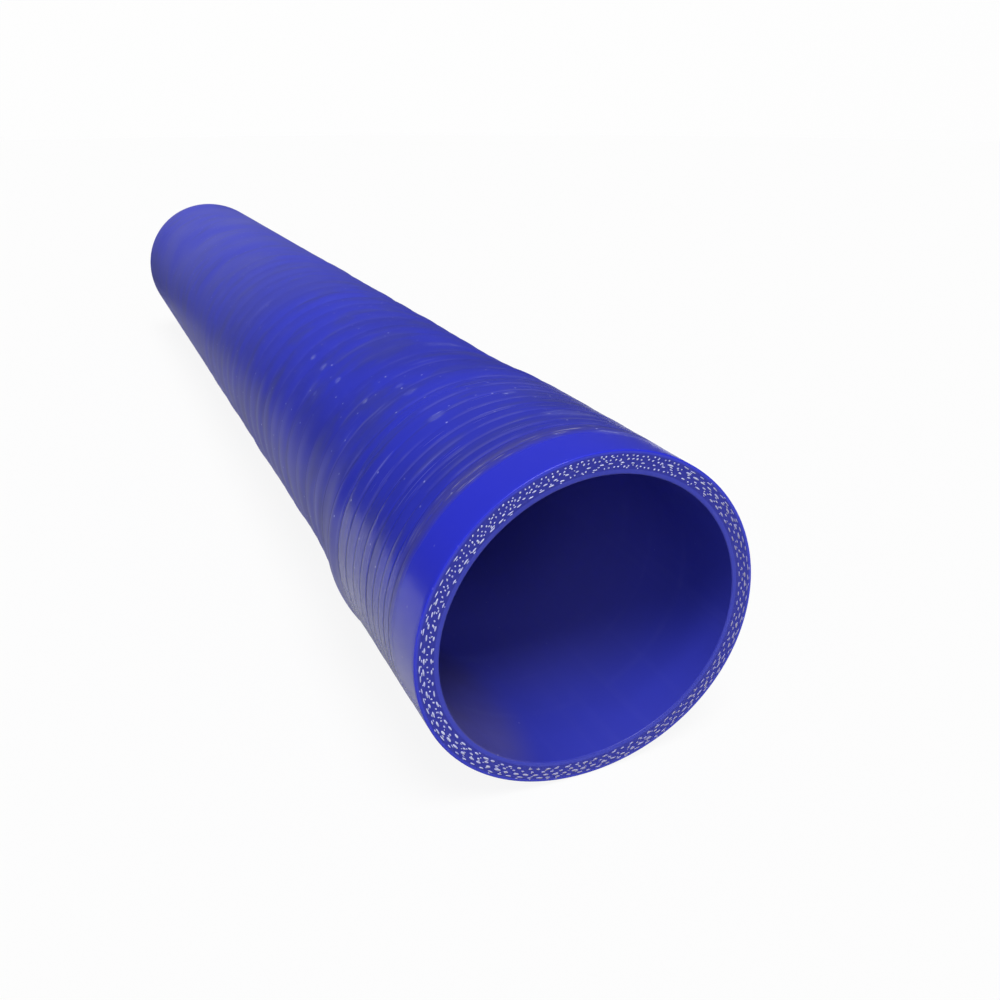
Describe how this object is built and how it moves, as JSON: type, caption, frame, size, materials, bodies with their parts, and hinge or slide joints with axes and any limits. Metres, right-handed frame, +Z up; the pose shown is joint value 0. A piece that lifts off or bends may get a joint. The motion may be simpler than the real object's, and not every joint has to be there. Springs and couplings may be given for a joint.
{
  "type": "silicone hose",
  "caption": "Straight reinforced silicone hose with a slightly wider socket end, lying on its side, open right through.",
  "frame": {"origin": "on the floor, under the middle of the hose", "axes": "+Y runs along the hose from its wide mouth to its narrow end, and +Z is up"},
  "size_m": [0.0832, 0.5, 0.0791],
  "materials": {
    "silicone": "glossy blue silicone rubber, wrapped surface"
  },
  "bodies": {
    "root": {"hose": "silicone"}
  },
  "joints": []
}
